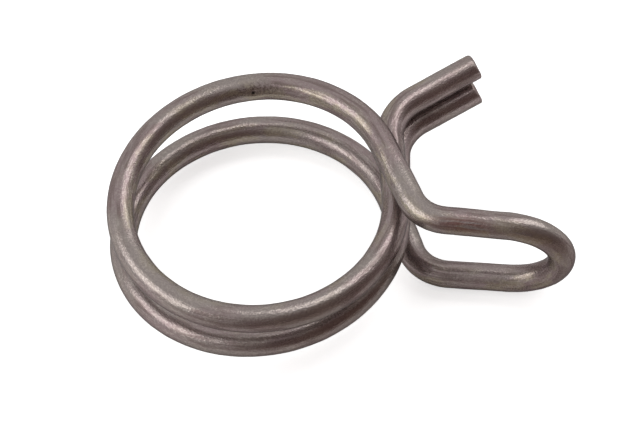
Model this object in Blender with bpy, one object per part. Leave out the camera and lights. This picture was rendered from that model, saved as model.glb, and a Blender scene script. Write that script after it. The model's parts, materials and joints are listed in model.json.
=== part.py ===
"""Double-wire spring hose clamp, bent from one length of round spring steel wire.

The wire runs from one cut end tang once round the hose, through the looped tang and once
round the hose again to the second cut end tang. The clamp lies with the axis of its rings
along Z, and the looped tang points along +X. Squeezing the end tangs towards the looped
tang opens both rings.

The wire is divided into stretches. The stretches of the looped tang are one rigid group.
Each ring is a chain of short stretches, and each stretch has its origin on the wire's
centreline at the point where it flexes against the one before it, about the Z axis.
The origin of the model is under the middle of the clamp, on the surface that it lies on.
"""

import math

import bmesh
import bpy
from mathutils import Vector

MM = 0.001

# The wire
WIRE_DIAMETER = 3.0 * MM
STRETCH_GAP = 0.3 * MM

# The facets: sides round the wire, the turn from one station to the next in the rings and
# in the tight bends, the step that its climb is taken over, and the sharpest smooth edge
WIRE_SIDES = 16
RING_STEP = math.radians(5.8)
TIGHT_STEP = math.radians(9.0)
CLIMB_STEP = 0.05 * MM
SHARP_EDGE = math.radians(40.0)

# The looped tang: two legs, one above the other, joined by the loop bend. The bend is
# sprung a little out of upright, so the lower leg lies slightly back and inwards.
LEG_LENGTH = 6.2 * MM
LOOP_HALF_HEIGHT = 5.05 * MM
LOOP_BULGE = 1.2
LOWER_LEG_INWARDS = 0.6 * MM
LOWER_LEG_BACK = 0.4 * MM
FOOT_HALF_HEIGHT = 5.2 * MM
FOOT_BEND_RADIUS = 4.8 * MM

# The rings, seen from above: each leaves its foot bend along a straight shoulder, which
# lies over the neck of its own end tang, and then closes in on the other ring
RING_STRETCHES = 10
CROSSING_HALF_HEIGHT = 5.3 * MM
RAMP_EASE = 0.06
UPPER = {
    "name": "upper",
    "side": 1,
    "leg_start": (0.0, 0.0),
    "foot_turn": math.radians(59.5),
    "shoulder": 7.7 * MM,
    "ring_radius": 14.6 * MM,
    "ring_turn": math.radians(342.0),
    "end_turn": math.radians(61.5),
    "end_tang": 7.9 * MM,
}
LOWER = {
    "name": "lower",
    "side": -1,
    "leg_start": (-LOWER_LEG_INWARDS, LOWER_LEG_BACK),
    "foot_turn": math.radians(64.0),
    "shoulder": 6.7 * MM,
    "ring_radius": 14.8 * MM,
    "ring_turn": math.radians(342.5),
    "end_turn": math.radians(58.0),
    "end_tang": 7.3 * MM,
}

# The end tangs: a straight neck between the shoulders, a bend and a short straight end
NECK_LENGTH = 8.1 * MM
END_HALF_HEIGHT = 1.7 * MM
END_BEND_RADIUS = 5.6 * MM

# Warm grey spring steel
STEEL_COLOUR = (0.36, 0.32, 0.29, 1.0)
STEEL_ROUGHNESS = 0.38
STEEL_METALLIC = 1.0


def moves(arm):
    """The plan of one arm from the loop bend to its cut end: name, length and turn."""
    return [
        ("leg", LEG_LENGTH, 0.0),
        ("foot_bend", FOOT_BEND_RADIUS * arm["foot_turn"], -arm["foot_turn"]),
        ("shoulder", arm["shoulder"], 0.0),
        ("ring", arm["ring_radius"] * arm["ring_turn"], arm["ring_turn"]),
        ("neck", NECK_LENGTH, 0.0),
        ("end_bend", END_BEND_RADIUS * arm["end_turn"], -arm["end_turn"]),
        ("end_tang", arm["end_tang"], 0.0),
    ]


def span(arm, wanted):
    """Distances along the arm at which a named move starts and ends."""
    start = 0.0
    for name, length, _ in moves(arm):
        if name == wanted:
            return start, start + length
        start += length
    raise ValueError(wanted)


def plan(arm, distance):
    """Plan position and heading after a distance along the arm."""
    x, y = arm["leg_start"]
    heading = math.pi
    for _, length, turn in moves(arm):
        step = min(distance, length)
        if turn == 0.0:
            x += step * math.cos(heading)
            y += step * math.sin(heading)
        else:
            radius = length / turn
            turned = heading + step / radius
            x += radius * (math.sin(turned) - math.sin(heading))
            y += radius * (math.cos(heading) - math.cos(turned))
            heading = turned
        distance -= step
        if distance <= 0.0:
            break
    return x, y, heading


def ramp(share):
    """From 0 to 1 at an even slope, eased so that it starts and ends level."""
    share = min(1.0, max(0.0, share))
    slope = 1.0 / (1.0 - RAMP_EASE)
    if share < RAMP_EASE:
        return slope * share * share / (2.0 * RAMP_EASE)
    if share > 1.0 - RAMP_EASE:
        return 1.0 - slope * (1.0 - share) ** 2 / (2.0 * RAMP_EASE)
    return slope * (share - RAMP_EASE / 2.0)


def swell(share):
    """From 0 to 1 in a smooth S that starts and ends level."""
    share = min(1.0, max(0.0, share))
    return share * share * (3.0 - 2.0 * share)


def height(arm, distance):
    """Height of the centreline over the clamp's middle plane."""
    leg_end = span(arm, "leg")[1]
    shoulder_start, shoulder_end = span(arm, "shoulder")
    neck_end = span(arm, "neck")[1]
    level = LOOP_HALF_HEIGHT
    level += (FOOT_HALF_HEIGHT - LOOP_HALF_HEIGHT) * swell(distance / leg_end)
    climbed = (distance - shoulder_start) / (shoulder_end - shoulder_start)
    level += (CROSSING_HALF_HEIGHT - FOOT_HALF_HEIGHT) * swell(climbed)
    wound = (distance - shoulder_end) / (neck_end - shoulder_end)
    level += (END_HALF_HEIGHT - CROSSING_HALF_HEIGHT) * ramp(wound)
    return arm["side"] * level


def arm_station(arm, distance):
    """Centre, forward direction and sideways direction of the wire at one place."""
    x, y, heading = plan(arm, distance)
    rise = height(arm, distance + CLIMB_STEP) - height(arm, distance - CLIMB_STEP)
    climb = rise / (2.0 * CLIMB_STEP)
    centre = Vector((x, y, height(arm, distance)))
    forward = Vector((math.cos(heading), math.sin(heading), climb)).normalized()
    side = Vector((-math.sin(heading), math.cos(heading), 0.0))
    return centre, forward, side


def loop_station(angle):
    """The same for the loop bend, whose angle falls from the upper leg to the lower one."""
    upper = arm_station(UPPER, 0.0)[0]
    lower = arm_station(LOWER, 0.0)[0]
    middle = (upper + lower) / 2.0
    rise = (upper - lower) / 2.0
    reach = Vector((LOOP_HALF_HEIGHT * LOOP_BULGE, 0.0, 0.0))
    centre = middle + rise * math.sin(angle) + reach * math.cos(angle)
    forward = reach * math.sin(angle) - rise * math.cos(angle)
    return centre, forward.normalized(), rise.cross(reach).normalized()


def loop_stations():
    """The loop bend from just past the upper leg to just short of the lower one."""
    trim = STRETCH_GAP / 2.0 / (LOOP_HALF_HEIGHT * LOOP_BULGE)
    first = math.pi / 2.0 - trim
    steps = math.ceil(2.0 * first / TIGHT_STEP)
    return [loop_station(first - 2.0 * first * i / steps) for i in range(steps + 1)]


def arm_stations(arm, start, end, turn, step):
    """Evenly spaced stations of one stretch, which bends through the given turn."""
    steps = max(1, math.ceil(abs(turn) / step))
    return [arm_station(arm, start + (end - start) * i / steps) for i in range(steps + 1)]


def hinges(arm):
    """Distances along the arm of the places where it flexes, at both ends of each stretch."""
    start, end = span(arm, "ring")
    return [start + (end - start) * i / RING_STRETCHES for i in range(RING_STRETCHES + 1)]


def arm_stretches(arm):
    """Every stretch of one arm: node name, hinge distance or None, parent name, stations."""
    trim = STRETCH_GAP / 2.0
    bends = hinges(arm)
    stretches = []
    parent = None
    for move, _, turn in moves(arm):
        start, end = span(arm, move)
        if move == "ring":
            for i in range(RING_STRETCHES):
                name = f"{arm['name']}_ring_{i + 1:02d}"
                first, last = bends[i] + trim, bends[i + 1] - trim
                stations = arm_stations(arm, first, last, turn / RING_STRETCHES, RING_STEP)
                stretches.append((name, bends[i], parent, stations))
                parent = name
            continue
        name = f"{arm['name']}_{move}"
        last_trim = 0.0 if move == "end_tang" else trim
        stations = arm_stations(arm, start + trim, end - last_trim, turn, TIGHT_STEP)
        hinge = bends[-1] if move == "neck" else None
        stretches.append((name, hinge, parent, stations))
        if move == "neck":
            parent = name
    return stretches


def section(station):
    """The corners of the wire's cross-section at a station."""
    centre, forward, side = station
    up = forward.cross(side)
    corners = []
    for i in range(WIRE_SIDES):
        angle = math.tau * i / WIRE_SIDES
        out = math.cos(angle) * side + math.sin(angle) * up
        corners.append(centre + WIRE_DIAMETER / 2.0 * out)
    return corners


def steel(name):
    """Satin spring steel for one stretch."""
    material = bpy.data.materials.new(name + "_steel")
    material.use_nodes = True
    shader = material.node_tree.nodes["Principled BSDF"]
    shader.inputs["Base Color"].default_value = STEEL_COLOUR
    shader.inputs["Roughness"].default_value = STEEL_ROUGHNESS
    shader.inputs["Metallic"].default_value = STEEL_METALLIC
    return material


def wire_stretch(name, stations, pivot, shift):
    """One solid stretch of wire, with its origin at the pivot."""
    mesh = bpy.data.meshes.new(name)
    bm = bmesh.new()
    rings = []
    for station in stations:
        rings.append([bm.verts.new(corner - pivot) for corner in section(station)])
    bm.faces.new(reversed(rings[0]))
    bm.faces.new(rings[-1])
    for near, far in zip(rings, rings[1:]):
        for i in range(WIRE_SIDES):
            j = (i + 1) % WIRE_SIDES
            bm.faces.new((near[i], near[j], far[j], far[i]))
    bm.normal_update()
    bm.to_mesh(mesh)
    bm.free()
    mesh.shade_smooth()
    mesh.set_sharp_from_angle(angle=SHARP_EDGE)
    piece = bpy.data.objects.new(name, mesh)
    piece.data.materials.append(steel(name))
    piece.location = pivot - shift
    bpy.context.collection.objects.link(piece)
    return piece


def base_centre(station_lists):
    """The point under the middle of everything, level with its lowest point."""
    corners = [c for stations in station_lists for s in stations for c in section(s)]
    low = [min(c[axis] for c in corners) for axis in range(3)]
    high = [max(c[axis] for c in corners) for axis in range(3)]
    return Vector(((low[0] + high[0]) / 2.0, (low[1] + high[1]) / 2.0, low[2]))


def hang(piece, parent):
    """Hangs a piece from its parent and keeps it where it is. No piece is turned."""
    place = piece.location.copy()
    ancestor = parent
    while ancestor is not None:
        place -= ancestor.location
        ancestor = ancestor.parent
    piece.parent = parent
    piece.location = place


def build():
    """Clears the scene, then makes every stretch and hangs it from the one it flexes on."""
    for old in list(bpy.data.objects):
        bpy.data.objects.remove(old, do_unlink=True)

    loop = loop_stations()
    arms = [(arm, arm_stretches(arm)) for arm in (UPPER, LOWER)]
    every = [loop] + [stations for _, parts in arms for _, _, _, stations in parts]
    shift = base_centre(every)

    looped_tang = bpy.data.objects.new("looped_tang", None)
    looped_tang.location = -shift
    bpy.context.collection.objects.link(looped_tang)

    loop_bend = wire_stretch("loop_bend", loop, loop[0][0], shift)
    hang(loop_bend, looped_tang)
    for arm, parts in arms:
        for name, hinge, parent, stations in parts:
            pivot = stations[0][0] if hinge is None else arm_station(arm, hinge)[0]
            piece = wire_stretch(name, stations, pivot, shift)
            hang(piece, bpy.data.objects[parent] if parent else looped_tang)
    bpy.context.view_layer.update()


build()
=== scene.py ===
"""Looks of the double-wire spring hose clamp: drawn spring steel wire with sheared ends.

The wire is drawn out as one long rod along its own bending plan, surfaced, and then parted
where the clamp flexes, so that every piece meets the next one at the same rim.
"""

import json
import math

import bmesh
import bpy
import numpy as np
from mathutils import Matrix, Vector
from mathutils import noise as noise_value
from mathutils.kdtree import KDTree


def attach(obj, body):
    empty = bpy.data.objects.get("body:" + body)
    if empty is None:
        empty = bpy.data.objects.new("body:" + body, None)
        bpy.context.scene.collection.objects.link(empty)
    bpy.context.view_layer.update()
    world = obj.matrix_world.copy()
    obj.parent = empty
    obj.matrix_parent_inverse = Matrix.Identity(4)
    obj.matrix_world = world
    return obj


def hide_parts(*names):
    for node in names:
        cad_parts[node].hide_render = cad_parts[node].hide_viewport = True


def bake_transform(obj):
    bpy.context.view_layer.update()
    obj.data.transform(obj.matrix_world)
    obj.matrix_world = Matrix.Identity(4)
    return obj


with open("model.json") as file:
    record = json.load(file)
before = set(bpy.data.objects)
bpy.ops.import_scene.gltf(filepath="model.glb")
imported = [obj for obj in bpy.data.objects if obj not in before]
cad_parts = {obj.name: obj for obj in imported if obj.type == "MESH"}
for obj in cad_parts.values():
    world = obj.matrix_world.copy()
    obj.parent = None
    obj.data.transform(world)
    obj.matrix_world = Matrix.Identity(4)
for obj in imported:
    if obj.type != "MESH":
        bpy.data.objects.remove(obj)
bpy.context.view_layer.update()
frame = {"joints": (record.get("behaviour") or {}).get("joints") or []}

MM = 0.001

# ---------------------------------------------------------------- the bending plan
WIRE_RADIUS = 1.5 * MM
LEG_LENGTH = 6.2 * MM
LOOP_HALF_HEIGHT = 5.05 * MM
LOOP_BULGE = 1.2
LOWER_LEG_INWARDS = 0.6 * MM
LOWER_LEG_BACK = 0.4 * MM
FOOT_HALF_HEIGHT = 5.2 * MM
FOOT_BEND_RADIUS = 4.8 * MM
RING_STRETCHES = 10
CROSSING_HALF_HEIGHT = 5.3 * MM
RAMP_EASE = 0.06
NECK_LENGTH = 8.1 * MM
END_HALF_HEIGHT = 1.7 * MM
END_BEND_RADIUS = 5.6 * MM
UPPER = {
    "name": "upper",
    "side": 1,
    "leg_start": (0.0, 0.0),
    "foot_turn": math.radians(59.5),
    "shoulder": 7.7 * MM,
    "ring_radius": 14.6 * MM,
    "ring_turn": math.radians(342.0),
    "end_turn": math.radians(61.5),
    "end_tang": 7.9 * MM,
}
LOWER = {
    "name": "lower",
    "side": -1,
    "leg_start": (-LOWER_LEG_INWARDS, LOWER_LEG_BACK),
    "foot_turn": math.radians(64.0),
    "shoulder": 6.7 * MM,
    "ring_radius": 14.8 * MM,
    "ring_turn": math.radians(342.5),
    "end_turn": math.radians(58.0),
    "end_tang": 7.3 * MM,
}

# The surface's own spacing, along the wire and round it
STATION_STEP = 0.2 * MM
SIDES = 48
END_RINGS = 9
WELD = 0.001 * MM
SMOOTH_BELOW = math.radians(40.0)

# Soft hollows all over the wire: their size, then their depth
RIPPLE = (2.6 * MM, 0.045 * MM)
PITTING = (0.7 * MM, 0.020 * MM)

# The sheared ends. Heights and places across a cut face are shares of the wire's radius.
CUT_REACH = 2.4 * MM
BEYOND_WIRE = 1.05
ON_RIM = 0.94
FACE_SKIN = 0.02 * MM
AXIS_SKIN = 0.0001 * MM
ROLL_OVER = 0.80 * MM
ROLL_FROM = -0.20
ROLL_BEND = math.radians(45.0)
RIM_BREAK = 0.04 * MM
BURR = 0.10 * MM
BURR_BELOW = 0.72
BURR_IN = 0.80
BURR_WIDTH = 0.17
FRACTURE_STEP = 0.05 * MM
FRACTURE_FROM = 0.05
FRACTURE_FADE = 0.12
TORN_SIZE = 0.28 * MM
TORN_DEPTH = 0.030 * MM
FACES_AHEAD = 0.72
LOOK_BACK = 20
UPPER_CUT = {"lean": math.radians(-4.0), "swing": math.radians(5.0), "back": 0.02 * MM}
LOWER_CUT = {"lean": math.radians(-3.0), "swing": math.radians(4.0), "back": 0.22 * MM}

# Marks on the wire: distance from the upper cut end, then how far from the wire's middle
# towards its inner side and towards its outer face
PIT = (91.39 * MM, 1.31 * MM, 0.65 * MM)
PIT_SIZE = 0.26 * MM
PIT_REACH = 0.42 * MM
PIT_DEPTH = 0.12 * MM
SPECKLES = (91.9 * MM, 1.06 * MM, 1.06 * MM)
LEG_STAIN = (123.9 * MM, 1.08 * MM, 1.02 * MM)


def moves(arm):
    """The plan of one arm from the loop bend to its cut end: name, length and turn."""
    return [
        ("leg", LEG_LENGTH, 0.0),
        ("foot_bend", FOOT_BEND_RADIUS * arm["foot_turn"], -arm["foot_turn"]),
        ("shoulder", arm["shoulder"], 0.0),
        ("ring", arm["ring_radius"] * arm["ring_turn"], arm["ring_turn"]),
        ("neck", NECK_LENGTH, 0.0),
        ("end_bend", END_BEND_RADIUS * arm["end_turn"], -arm["end_turn"]),
        ("end_tang", arm["end_tang"], 0.0),
    ]


def span(arm, wanted):
    """Distances along the arm at which a named move starts and ends."""
    start = 0.0
    for name, length, _ in moves(arm):
        if name == wanted:
            return start, start + length
        start += length
    raise ValueError(wanted)


def plan(arm, distance):
    """Plan position and heading after a distance along the arm."""
    x, y = arm["leg_start"]
    heading = math.pi
    for _, length, turn in moves(arm):
        step = min(distance, length)
        if turn == 0.0:
            x += step * math.cos(heading)
            y += step * math.sin(heading)
        else:
            radius = length / turn
            turned = heading + step / radius
            x += radius * (math.sin(turned) - math.sin(heading))
            y += radius * (math.cos(heading) - math.cos(turned))
            heading = turned
        distance -= step
        if distance <= 0.0:
            break
    return x, y, heading


def ramp(share):
    """From 0 to 1 at an even slope, eased so that it starts and ends level."""
    share = min(1.0, max(0.0, share))
    slope = 1.0 / (1.0 - RAMP_EASE)
    if share < RAMP_EASE:
        return slope * share * share / (2.0 * RAMP_EASE)
    if share > 1.0 - RAMP_EASE:
        return 1.0 - slope * (1.0 - share) ** 2 / (2.0 * RAMP_EASE)
    return slope * (share - RAMP_EASE / 2.0)


def swell(share):
    """From 0 to 1 in a smooth S that starts and ends level."""
    share = min(1.0, max(0.0, share))
    return share * share * (3.0 - 2.0 * share)


def height(arm, distance):
    """Height of the centreline over the clamp's middle plane."""
    leg_end = span(arm, "leg")[1]
    shoulder_start, shoulder_end = span(arm, "shoulder")
    neck_end = span(arm, "neck")[1]
    level = LOOP_HALF_HEIGHT
    level += (FOOT_HALF_HEIGHT - LOOP_HALF_HEIGHT) * swell(distance / leg_end)
    climbed = (distance - shoulder_start) / (shoulder_end - shoulder_start)
    level += (CROSSING_HALF_HEIGHT - FOOT_HALF_HEIGHT) * swell(climbed)
    wound = (distance - shoulder_end) / (neck_end - shoulder_end)
    level += (END_HALF_HEIGHT - CROSSING_HALF_HEIGHT) * ramp(wound)
    return arm["side"] * level


def arm_point(arm, distance):
    """Centre of the wire at one place along an arm, and the way to its inner side."""
    x, y, heading = plan(arm, distance)
    centre = Vector((x, y, height(arm, distance)))
    return centre, Vector((-math.sin(heading), math.cos(heading), 0.0))


def loop_point(angle):
    """The same for the loop bend, whose angle falls from the upper leg to the lower one."""
    upper = arm_point(UPPER, 0.0)[0]
    lower = arm_point(LOWER, 0.0)[0]
    rise = (upper - lower) / 2.0
    reach = Vector((LOOP_HALF_HEIGHT * LOOP_BULGE, 0.0, 0.0))
    centre = (upper + lower) / 2.0 + rise * math.sin(angle) + reach * math.cos(angle)
    return centre, reach.cross(rise).normalized()


# ---------------------------------------------------------------- the wire as one long rod
JOINT_OVER = {joint["child"]: joint for joint in frame["joints"]}


def flexes(arm):
    """Where one arm flexes: distance along the arm, and the joint that is there."""
    start, end = span(arm, "ring")
    spacing = (end - start) / RING_STRETCHES
    children = [f"{arm['name']}_ring_{i + 1:02d}" for i in range(RING_STRETCHES)]
    children.append(f"{arm['name']}_end_tang")
    return [(start + spacing * i, JOINT_OVER[child]) for i, child in enumerate(children)]


def arm_length(arm):
    return span(arm, "end_tang")[1]


def arm_pieces(arm):
    """The visible lengths of one arm: name, start, end, joint and the CAD nodes stood for."""
    name = arm["name"]
    start, end = span(arm, "ring")
    half = (end - start) / RING_STRETCHES / 2.0
    pieces = []
    for i, (distance, joint) in enumerate(flexes(arm)):
        last = i == RING_STRETCHES
        piece = f"{name}_neck_wire" if last else f"{name}_ring_wire_{i + 1:02d}"
        node = f"{name}_neck" if last else f"{name}_ring_{i + 1:02d}"
        pieces.append((piece, distance - half, distance + half, joint, [node]))
    tang_nodes = [f"{name}_end_bend", f"{name}_end_tang"]
    tang_start = pieces[-1][2]
    pieces.append((f"{name}_end_tang_wire", tang_start, arm_length(arm), None, tang_nodes))
    return pieces


def evenly(start, end):
    """Distances from start to end, a station step apart or a little less."""
    count = math.ceil(abs(end - start) / STATION_STEP)
    return [start + (end - start) * i / count for i in range(count + 1)]


def wire_pieces():
    """Every visible length of the wire in order from the upper cut end to the lower one.

    Each is its name, its stations, its joint and its CAD nodes. A station is the centre,
    the way to the wire's inner side and the way to its outer face, up or down."""
    def stations(arm, distances):
        out = Vector((0.0, 0.0, arm["side"]))
        return [(*arm_point(arm, d), out) for d in distances]

    upper = arm_pieces(UPPER)
    lower = arm_pieces(LOWER)
    lengths = []
    for name, start, end, joint, nodes in reversed(upper):
        lengths.append((name, stations(UPPER, evenly(end, start)), joint, nodes))
    bend_length = math.pi * LOOP_HALF_HEIGHT * (1.0 + LOOP_BULGE) / 2.0
    looped = stations(UPPER, evenly(upper[0][1], 0.0))
    middle = loop_point(math.pi / 2.0)[0].lerp(loop_point(-math.pi / 2.0)[0], 0.5)
    for share in evenly(0.0, bend_length)[1:-1]:
        centre, side = loop_point(math.pi * (0.5 - share / bend_length))
        looped.append((centre, side, (centre - middle).normalized()))
    looped += stations(LOWER, evenly(0.0, lower[0][1]))
    looped_nodes = ["loop_bend"]
    for arm in (UPPER, LOWER):
        looped_nodes += [f"{arm['name']}_{part}" for part in ("leg", "foot_bend", "shoulder")]
    lengths.append(("looped_tang_wire", looped, None, looped_nodes))
    for name, start, end, joint, nodes in lower:
        lengths.append((name, stations(LOWER, evenly(start, end)), joint, nodes))
    return lengths


def deselect_all():
    bpy.ops.object.select_all(action="DESELECT")


def only(piece):
    """Makes a piece the one selected and active object."""
    deselect_all()
    piece.select_set(True)
    bpy.context.view_layer.objects.active = piece


def draw_rod(stations):
    """One long closed rod of round wire along the stations, as a mesh."""
    deselect_all()
    bpy.ops.curve.primitive_nurbs_path_add(location=(0.0, 0.0, 0.0))
    rod = bpy.context.object
    curve = rod.data
    curve.splines.clear()
    spline = curve.splines.new("POLY")
    spline.points.add(len(stations) - 1)
    for point, (centre, _, _) in zip(spline.points, stations):
        point.co = (*centre, 1.0)
    curve.dimensions = "3D"
    curve.twist_mode = "MINIMUM"
    curve.bevel_depth = WIRE_RADIUS
    curve.bevel_resolution = SIDES // 2 - 2
    curve.use_fill_caps = True
    bpy.ops.object.convert(target="MESH")
    rod = bpy.context.object
    rod.name = "wire_rod"
    bpy.ops.object.mode_set(mode="EDIT")
    bpy.ops.mesh.select_all(action="SELECT")
    bpy.ops.mesh.remove_doubles(threshold=WELD)
    bpy.ops.mesh.select_all(action="DESELECT")
    bpy.ops.object.mode_set(mode="OBJECT")
    grid_ends(rod)
    dent(rod, "ripple", *RIPPLE)
    dent(rod, "pitting", *PITTING)
    return rod


def grid_ends(rod):
    """Gives both flat ends rings of faces, so that they can be shaped, and closes their middles."""
    only(rod)
    rod.data.polygons.foreach_set("select", [len(f.vertices) > 4 for f in rod.data.polygons])
    bpy.ops.object.mode_set(mode="EDIT")
    bpy.ops.mesh.select_mode(type="FACE")
    for _ in range(END_RINGS):
        bpy.ops.mesh.inset(thickness=WIRE_RADIUS / (END_RINGS + 1))
    bpy.ops.mesh.merge(type="COLLAPSE")
    bpy.ops.mesh.select_all(action="DESELECT")
    bpy.ops.object.mode_set(mode="OBJECT")


def shear_end(rod, centre, forward, cut):
    """Shapes one end as the shear leaves it: a leaning face, its upper rim rolled over, and
    a small burr along its lower rim. The shape fades out over a short reach behind the end."""
    mesh = rod.data
    up = Vector((0.0, 0.0, 1.0))
    side = forward.cross(up).normalized()
    up = side.cross(forward)
    cut_place = mesh.attributes.get("cut_place") or mesh.attributes.new(
        "cut_place", "FLOAT_VECTOR", "POINT"
    )
    for vertex in mesh.vertices:
        offset = vertex.co - centre
        behind = offset.dot(forward)
        w = offset.dot(side)
        h = offset.dot(up)
        radius = max(math.hypot(w, h), AXIS_SKIN)
        if abs(behind) > CUT_REACH or radius > BEYOND_WIRE * WIRE_RADIUS:
            continue
        high = h / WIRE_RADIUS
        on_rim = radius / WIRE_RADIUS
        rolled = ROLL_OVER * swell((h / radius - ROLL_FROM) / (1.0 - ROLL_FROM)) + RIM_BREAK
        new_radius, new_behind = radius, behind
        if behind > -rolled and on_rim > ON_RIM:
            bend = ROLL_BEND * (behind + rolled) / rolled
            new_radius = radius - rolled + rolled * math.cos(bend)
            new_behind = -rolled + rolled * math.sin(bend)
        elif behind > -FACE_SKIN and radius > WIRE_RADIUS - rolled:
            bend = ROLL_BEND * (1.0 + (WIRE_RADIUS - radius) / rolled)
            new_radius = WIRE_RADIUS - rolled + rolled * math.cos(bend)
            new_behind = -rolled + rolled * math.sin(bend)
        fade = swell(1.0 + behind / CUT_REACH)
        lean = -h * math.tan(cut["lean"]) - w * math.tan(cut["swing"]) - cut["back"]
        new_behind += fade * lean
        if behind >= -FACE_SKIN:
            scored = swell((high - FRACTURE_FROM) / FRACTURE_FADE)
            if on_rim < ON_RIM:
                new_behind -= FRACTURE_STEP * scored
            burr = swell((-high - BURR_BELOW) / (1.0 - BURR_BELOW))
            new_behind += BURR * burr * swell((on_rim - BURR_IN) / BURR_WIDTH)
            torn = noise_value.noise(offset / TORN_SIZE)
            new_behind += TORN_DEPTH * torn * (1.0 - scored)
        vertex.co = centre + forward * new_behind + (side * w + up * h) * (new_radius / radius)
        cut_place.data[vertex.index].vector = (w, h, behind)


def dent(rod, name, size, depth):
    """Presses soft hollows of one size into the rod, never outwards."""
    texture = bpy.data.textures.new(name, "CLOUDS")
    texture.noise_scale = size
    texture.noise_depth = 1
    only(rod)
    bpy.ops.object.modifier_add(type="DISPLACE")
    modifier = rod.modifiers[-1]
    modifier.name = name
    modifier.texture = texture
    modifier.texture_coords = "LOCAL"
    modifier.mid_level = 1.0
    modifier.strength = depth
    bpy.ops.object.modifier_apply(modifier=name)


def lengths_along(stations):
    """How far along the wire each station is."""
    along = [0.0]
    for (near_end, _, _), (far_end, _, _) in zip(stations, stations[1:]):
        along.append(along[-1] + (far_end - near_end).length)
    return along


def press_pit(rod, stations):
    """Presses the one small pit into the wire."""
    distance, inwards, outwards = PIT
    along = lengths_along(stations)
    i = min(range(len(along)), key=lambda i: abs(along[i] - distance))
    centre, inner, outer = stations[i]
    towards_spot = inner * inwards + outer * outwards
    spot = centre + towards_spot
    for vertex in rod.data.vertices:
        away = (vertex.co - spot).length / PIT_REACH
        if away < 1.0:
            vertex.co -= towards_spot.normalized() * PIT_DEPTH * swell(1.0 - away)


def part_wire(rod, stations, spans):
    """Notes on each vertex where it lies on the wire, then parts the rod into its pieces."""
    note_places(rod, stations)
    pieces = []
    for name, first, last, joint, nodes in spans[:-1]:
        only(rod)
        select_stretch(rod, first, last)
        bpy.ops.object.mode_set(mode="EDIT")
        bpy.ops.mesh.separate(type="SELECTED")
        bpy.ops.object.mode_set(mode="OBJECT")
        piece = next(o for o in bpy.context.selected_objects if o is not rod)
        pieces.append((piece, name, first, last, joint, nodes))
    pieces.append((rod, *spans[-1]))
    for piece, name, *_ in pieces:
        piece.name = name
        piece.data.name = name
        close_rims(piece)
    return pieces


def note_places(rod, stations):
    """Writes the straightened wire onto the rod: how far along, and how far in and out."""
    tree = KDTree(len(stations))
    for i, (centre, _, _) in enumerate(stations):
        tree.insert(centre, i)
    tree.balance()
    along = lengths_along(stations)
    mesh = rod.data
    station = mesh.attributes.new("station", "INT", "POINT")
    place = mesh.attributes.new("rod_place", "FLOAT_VECTOR", "POINT")
    found = np.zeros(len(mesh.vertices), np.int32)
    places = np.zeros((len(mesh.vertices), 3), np.float32)
    for vertex in mesh.vertices:
        _, i, _ = tree.find(vertex.co)
        centre, inner, outer = stations[i]
        offset = vertex.co - centre
        found[vertex.index] = i
        places[vertex.index] = (along[i], offset.dot(inner), offset.dot(outer))
    station.data.foreach_set("value", found)
    place.data.foreach_set("vector", places.ravel())


def select_stretch(rod, first, last):
    """Selects the faces whose corners all lie from the first station to the last."""
    mesh = rod.data
    station = np.zeros(len(mesh.vertices), np.int32)
    mesh.attributes["station"].data.foreach_get("value", station)
    mesh.vertices.foreach_set("select", np.zeros(len(mesh.vertices), bool))
    mesh.edges.foreach_set("select", np.zeros(len(mesh.edges), bool))
    chosen = [
        all(first <= station[v] <= last for v in face.vertices) for face in mesh.polygons
    ]
    mesh.polygons.foreach_set("select", chosen)
    mesh.update()


def close_rims(piece):
    """Closes the open rims of a parted piece and shades it smooth round the wire."""
    only(piece)
    bpy.ops.object.mode_set(mode="EDIT")
    bpy.ops.mesh.select_all(action="DESELECT")
    bpy.ops.mesh.select_mode(type="EDGE")
    bpy.ops.mesh.select_non_manifold()
    if any(edge.select for edge in bmesh.from_edit_mesh(piece.data).edges):
        bpy.ops.mesh.fill_holes(sides=0)
    bpy.ops.mesh.select_mode(type="VERT")
    bpy.ops.mesh.select_all(action="SELECT")
    bpy.ops.mesh.normals_make_consistent(inside=False)
    bpy.ops.mesh.select_all(action="DESELECT")
    bpy.ops.object.mode_set(mode="OBJECT")
    bpy.ops.object.shade_smooth_by_angle(angle=SMOOTH_BELOW)


def paint_cut(piece, end, behind):
    """Gives the sheared finish to the faces that look along the wire at its cut end."""
    forward = (end - behind).normalized()
    for face in piece.data.polygons:
        near_end = (face.center - end).length < 2.0 * WIRE_RADIUS
        if near_end and face.normal.dot(forward) > FACES_AHEAD:
            face.material_index = 1


def build_wire():
    """The whole wire, surfaced and parted. Pieces without a joint go on their own bodies; pieces at
    a joint stay where they are drawn.
    """
    distance, joint = flexes(UPPER)[0]
    shift = arm_point(UPPER, distance)[0] - Vector(joint["pos_m"])
    stations = []
    spans = []
    for name, own, joint, nodes in wire_pieces():
        own = [(centre - shift, inner, outer) for centre, inner, outer in own]
        first = max(0, len(stations) - 1)
        stations += own[1:] if stations else own
        spans.append((name, first, len(stations) - 1, joint, nodes))
    rod = draw_rod(stations)
    press_pit(rod, stations)
    for here, before, cut in ((0, 1, UPPER_CUT), (-1, -2, LOWER_CUT)):
        forward = (stations[here][0] - stations[before][0]).normalized()
        shear_end(rod, stations[here][0], forward, cut)
    steel = drawn_steel()
    sheared = sheared_steel()
    for piece, name, first, last, joint, nodes in part_wire(rod, stations, spans):
        piece.data.materials.clear()
        piece.data.materials.append(steel)
        if name.endswith("end_tang_wire"):
            piece.data.materials.append(sheared)
            tip, inside = (0, LOOK_BACK) if first == 0 else (-1, -LOOK_BACK)
            paint_cut(piece, stations[tip][0], stations[inside][0])
        if joint is None:
            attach(piece, name.removesuffix("_wire"))
        else:
            start, end = stations[first][0], stations[last][0]
            if name.startswith("upper"):
                start, end = end, start
            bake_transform(piece)
        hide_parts(*nodes)


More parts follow.
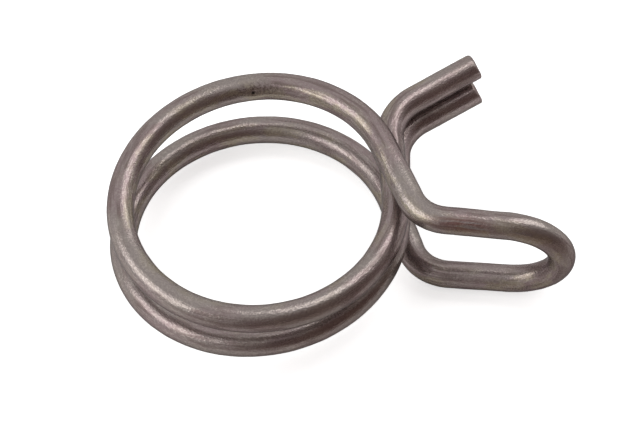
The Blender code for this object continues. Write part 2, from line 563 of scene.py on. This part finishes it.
# ---------------------------------------------------------------- finishes
OXIDE = (0.115, 0.078, 0.068, 1.0)
SOOT = (0.020, 0.014, 0.012, 1.0)
STEEL = (0.312, 0.268, 0.252, 1.0)
RUBBED = (0.580, 0.520, 0.480, 1.0)
MAUVE = (0.305, 0.236, 0.236, 1.0)
STRAW = (0.352, 0.304, 0.236, 1.0)
RUST = (0.235, 0.108, 0.092, 1.0)
TORN_DARK = (0.24, 0.205, 0.19, 1.0)
TORN_LIGHT = (0.44, 0.40, 0.37, 1.0)
SCORED_DARK = (0.42, 0.38, 0.355, 1.0)
SCORED_LIGHT = (0.62, 0.575, 0.54, 1.0)
EDGE_TINT = (0.26, 0.26, 0.26, 1.0)
BLACK = (0.0, 0.0, 0.0, 1.0)
WHITE = (1.0, 1.0, 1.0, 1.0)
RELIEF_DEPTH = 0.010 * MM


class Value:
    """One socket of a material's node tree. Sums on it add Math nodes to the tree."""

    def __init__(self, tree, socket):
        self.tree = tree
        self.socket = socket

    def node(self, kind, settings=None, output=0, **values):
        """Adds a node: its settings first, then the values or links of its sockets."""
        return add_node(self.tree, kind, settings, output, **values)

    def math(self, operation, *values):
        values = {f"input_{i}": value for i, value in enumerate(values)}
        return self.node("Math", {"operation": operation}, **values)

    def __add__(self, other):
        return self.math("ADD", self, other)

    __radd__ = __add__

    def __sub__(self, other):
        return self.math("SUBTRACT", self, other)

    def __rsub__(self, other):
        return self.math("SUBTRACT", other, self)

    def __mul__(self, other):
        return self.math("MULTIPLY", self, other)

    __rmul__ = __mul__

    def spread(self, low, high, start=0.0, end=1.0):
        """This value stretched so that low becomes start and high becomes end, no further."""
        values = {"From Min": low, "From Max": high, "To Min": start, "To Max": end}
        return self.node("MapRange", {"interpolation_type": "SMOOTHSTEP"}, Value=self, **values)


def add_node(tree, kind, settings=None, output=0, **values):
    node = tree.nodes.new("ShaderNode" + kind)
    for name, value in (settings or {}).items():
        setattr(node, name, value)
    for name, value in values.items():
        index = int(name[6:]) if name.startswith("input_") else name
        socket = node.inputs[index]
        if isinstance(value, Value):
            tree.links.new(value.socket, socket)
        else:
            socket.default_value = value
    return Value(tree, node.outputs[output])


def new_material(name):
    """An empty material with its shader node, and the tree that they are in."""
    material = bpy.data.materials.new(name)
    material.use_nodes = True
    return material, material.node_tree, material.node_tree.nodes["Principled BSDF"]


def mix_colour(mask, plain, covered):
    """Two colours, or values of colour, mixed by a mask."""
    values = {"input_0": mask, "input_6": plain, "input_7": covered}
    return mask.node("Mix", {"data_type": "RGBA"}, output=2, **values)


def noise(place, along, across, detail=3.0, roughness=0.55):
    """Noise on the straightened wire, with its own scale along the wire and across it."""
    scaled = place.node(
        "VectorMath", {"operation": "MULTIPLY"}, input_0=place, input_1=(along, across, across)
    )
    return place.node(
        "TexNoise", Vector=scaled, Scale=1.0, Detail=detail, Roughness=roughness
    )


def near(place, spot, reach_along, reach_across, core=0.0):
    """1 at a spot on the straightened wire, falling to 0 within a reach along and across."""
    offset = place.node("VectorMath", {"operation": "SUBTRACT"}, input_0=place, input_1=spot)
    share = (1.0 / reach_along, 1.0 / reach_across, 1.0 / reach_across)
    offset = place.node("VectorMath", {"operation": "MULTIPLY"}, input_0=offset, input_1=share)
    away = place.node("VectorMath", {"operation": "LENGTH"}, output=1, input_0=offset)
    return away.spread(core, 1.0, 1.0, 0.0)


def drawn_steel():
    """Drawn spring steel wire: streaked along its length, mottled and a little rubbed."""
    material, tree, shader = new_material("drawn_steel")
    place = add_node(tree, "Attribute", {"attribute_name": "rod_place"}, output=1)
    inner = place.node("SeparateXYZ", output=1, Vector=place)
    blotch = noise(place, 120.0, 300.0)
    patch = noise(place, 310.0, 760.0)
    mottle = noise(place, 900.0, 1500.0, detail=4.0, roughness=0.62)
    streak = noise(place, 220.0, 2600.0, detail=4.0, roughness=0.60)
    line = noise(place, 110.0, 6500.0, detail=2.0)
    fleck = noise(place, 3900.0, 4800.0, detail=2.0)
    grain = noise(place, 6200.0, 7500.0, detail=1.0)

    shaded = streak.spread(0.47, 0.60) * blotch.spread(0.38, 0.54)
    worn = mottle.spread(0.42, 0.60) * patch.spread(0.36, 0.58)
    pepper = fleck.spread(0.56, 0.66)
    bright = fleck.spread(0.48, 0.58)
    pit = near(place, PIT, PIT_SIZE * 1.2, PIT_SIZE, core=0.5)
    speckled = near(place, SPECKLES, 6.5 * MM, 1.3 * MM) * fleck.spread(0.49, 0.57)
    stained = near(place, LEG_STAIN, 5.0 * MM, 1.3 * MM) * streak.spread(0.38, 0.52)

    straw = patch.spread(0.46, 0.62) * (0.15 + inner.spread(-0.2 * MM, 1.2 * MM) * 0.75)
    colour = mix_colour(blotch.spread(0.38, 0.60), STEEL, MAUVE)
    colour = mix_colour(straw, colour, STRAW)
    colour = mix_colour(bright * (0.24 + worn * 0.22), colour, RUBBED)
    colour = mix_colour(stained * 0.85, colour, RUST)
    colour = mix_colour(shaded * 0.50 + pepper * 0.12, colour, OXIDE)
    colour = mix_colour(speckled * 0.8, colour, OXIDE)
    colour = mix_colour(pit, colour, SOOT)
    relief = mottle * 1.2 + streak * 0.9 + line * 0.9 + fleck * 2.9 + grain * 0.5
    bump = add_node(tree, "Bump", Height=relief, Strength=1.0, Distance=RELIEF_DEPTH)

    shader.inputs["Specular Tint"].default_value = EDGE_TINT
    links = {
        "Base Color": colour,
        "Roughness": 0.26 - bright * (0.11 + worn * 0.04) + pepper * 0.03 + shaded * 0.06,
        "Metallic": 0.77 - shaded * 0.15 - pit * 0.6,
        "Normal": bump,
    }
    for name, value in links.items():
        tree.links.new(value.socket, shader.inputs[name])
    return material


def sheared_steel():
    """The face that the shear leaves: scored and bright where the blade went in, torn below."""
    material, tree, shader = new_material("sheared_steel")
    place = add_node(tree, "Attribute", {"attribute_name": "cut_place"}, output=1)
    height_up = place.node("SeparateXYZ", output=1, Vector=place)
    score = noise(place, 9000.0, 700.0, detail=2.0)
    torn = noise(place, 3600.0, 3600.0, detail=4.0, roughness=0.65)
    stain = noise(place, 800.0, 800.0, detail=3.0)
    bright = height_up.spread(0.05 * MM, 0.25 * MM)
    colour = mix_colour(torn.spread(0.35, 0.65), TORN_DARK, TORN_LIGHT)
    scored = mix_colour(score.spread(0.35, 0.65), SCORED_DARK, SCORED_LIGHT)
    colour = mix_colour(bright, colour, scored)
    colour = mix_colour(stain.spread(0.50, 0.68) * 0.6, colour, OXIDE)
    relief = torn * (1.0 - bright) * 3.0 + score * bright * 0.8
    bump = add_node(tree, "Bump", Height=relief, Strength=1.0, Distance=RELIEF_DEPTH)
    links = {
        "Base Color": colour,
        "Roughness": 0.46 - bright * 0.18 + torn.spread(0.4, 0.6) * 0.06,
        "Normal": bump,
    }
    shader.inputs["Metallic"].default_value = 0.9
    for name, value in links.items():
        tree.links.new(value.socket, shader.inputs[name])
    return material


# ---------------------------------------------------------------- camera, floor and light
MIDDLE = Vector((0.0, 0.0, 6.8 * MM))
CAMERA_TARGET = MIDDLE + Vector((-2.449 * MM, -1.630 * MM, 0.0))
CAMERA_AZIMUTH = math.radians(15.64)
CAMERA_ELEVATION = math.radians(53.48)
CAMERA_ROLL = math.radians(-8.20)
CAMERA_DISTANCE = 0.55
CAMERA_LENS = 290.1
CAMERA_SENSOR = 36.0
LAMP_DISTANCE = 0.6

# The walls, and how far from the middle of their dark side the shade begins and is full
WALL = (0.68, 0.68, 0.68, 1.0)
SHADED_WALL = (0.105, 0.058, 0.048, 1.0)
SHADE_BEGINS = math.radians(82.0)
SHADE_FULL = math.radians(35.0)

# The floor, and the way and the distances in which what is mirrored of it gets darker
FLOOR_SIZE = 4.0
FLOOR_DROP = 0.02 * MM
SEEN_PAPER = (0.93, 0.93, 0.93, 1.0)
SHADED_PAPER = (0.30, 0.235, 0.215, 1.0)
PAPER_GLOW = 0.60
SHADED_WAY = (0.53, -0.85, 0.0)
PAPER_SHADE_BEGINS = 4.0 * MM
PAPER_SHADE_FULL = 42.0 * MM


def towards(zenith_deg, compass_deg):
    """A direction by its angle from straight up and its compass angle from +X to +Y."""
    zenith = math.radians(zenith_deg)
    compass = math.radians(compass_deg)
    return Vector((
        math.sin(zenith) * math.cos(compass),
        math.sin(zenith) * math.sin(compass),
        math.cos(zenith),
    ))


def place_camera():
    """The camera looks down at the clamp from the front, turned a little on its own axis."""
    back = Vector((
        math.sin(CAMERA_AZIMUTH) * math.cos(CAMERA_ELEVATION),
        -math.cos(CAMERA_AZIMUTH) * math.cos(CAMERA_ELEVATION),
        math.sin(CAMERA_ELEVATION),
    ))
    right = Vector((math.cos(CAMERA_AZIMUTH), math.sin(CAMERA_AZIMUTH), 0.0))
    up = back.cross(right)
    across = right * math.cos(CAMERA_ROLL) + up * math.sin(CAMERA_ROLL)
    along = up * math.cos(CAMERA_ROLL) - right * math.sin(CAMERA_ROLL)
    turn = Matrix((across, along, back)).transposed().to_4x4()
    bpy.ops.object.camera_add()
    camera = bpy.context.object
    camera.name = "camera"
    camera.data.lens = CAMERA_LENS
    camera.data.sensor_width = CAMERA_SENSOR
    camera.matrix_world = Matrix.Translation(CAMERA_TARGET + back * CAMERA_DISTANCE) @ turn
    bpy.context.scene.camera = camera


def softbox(name, direction, width, length, brightness):
    """A square-cornered soft lamp that faces the clamp and is itself out of every view."""
    bpy.ops.object.light_add(type="AREA", location=MIDDLE + direction * LAMP_DISTANCE)
    lamp = bpy.context.object
    lamp.name = name
    lamp.rotation_mode = "QUATERNION"
    lamp.rotation_quaternion = direction.to_track_quat("Z", "Y")
    lamp.data.shape = "RECTANGLE"
    lamp.data.size = width
    lamp.data.size_y = length
    lamp.data.energy = brightness * math.pi * width * length
    lamp.data.color = (1.0, 1.0, 1.0)
    lamp.visible_camera = False


def studio_surround(dark_side):
    """Walls that the camera sees as white. As the wire mirrors them they are pale, and fall
    off into a warm shade towards one side."""
    world = bpy.data.worlds.new("studio")
    bpy.context.scene.world = world
    world.use_nodes = True
    tree = world.node_tree
    place = add_node(tree, "TexCoord", output=0)
    facing = add_node(
        tree, "VectorMath", {"operation": "DOT_PRODUCT"}, output=1, input_0=place,
        input_1=dark_side,
    )
    shade = facing.spread(math.cos(SHADE_BEGINS), math.cos(SHADE_FULL))
    wall = mix_colour(shade, WALL, SHADED_WALL)
    seen = add_node(tree, "LightPath", output=0)
    colour = mix_colour(seen, wall, WHITE)
    background = tree.nodes["Background"]
    tree.links.new(colour.socket, background.inputs["Color"])
    background.inputs["Strength"].default_value = 1.0


def paper_floor():
    """White paper under the clamp, wider than any view. The camera sees it glow a little, so
    that shadows on it are faint. As the wire mirrors it, it falls off into a warm shade."""
    bpy.ops.mesh.primitive_plane_add(size=FLOOR_SIZE, location=(0.0, 0.0, -FLOOR_DROP))
    floor = bpy.context.object
    floor.name = "floor"
    material, tree, shader = new_material("floor_paper")
    place = add_node(tree, "TexCoord", output=3)
    across = add_node(
        tree, "VectorMath", {"operation": "DOT_PRODUCT"}, output=1, input_0=place,
        input_1=SHADED_WAY,
    )
    shade = across.spread(PAPER_SHADE_BEGINS, PAPER_SHADE_FULL)
    seen = add_node(tree, "LightPath", output=0)
    paper = mix_colour(shade, WHITE, SHADED_PAPER)
    paper = mix_colour(seen, paper, SEEN_PAPER)
    glow = mix_colour(seen, BLACK, WHITE)
    tree.links.new(paper.socket, shader.inputs["Base Color"])
    tree.links.new(glow.socket, shader.inputs["Emission Color"])
    shader.inputs["Emission Strength"].default_value = PAPER_GLOW
    shader.inputs["Roughness"].default_value = 1.0
    shader.inputs["Specular IOR Level"].default_value = 0.0
    floor.data.materials.append(material)


def build_studio():
    """Camera, two soft lamps, walls and floor."""
    place_camera()
    softbox("side_lamp", towards(54.0, 203.0), width=0.57, length=0.37, brightness=1.68)
    softbox("top_lamp", towards(37.0, 50.0), width=0.32, length=0.70, brightness=1.66)
    studio_surround(towards(84.0, -42.0))
    paper_floor()
    bpy.context.scene.view_settings.view_transform = "Standard"


build_studio()
build_wire()
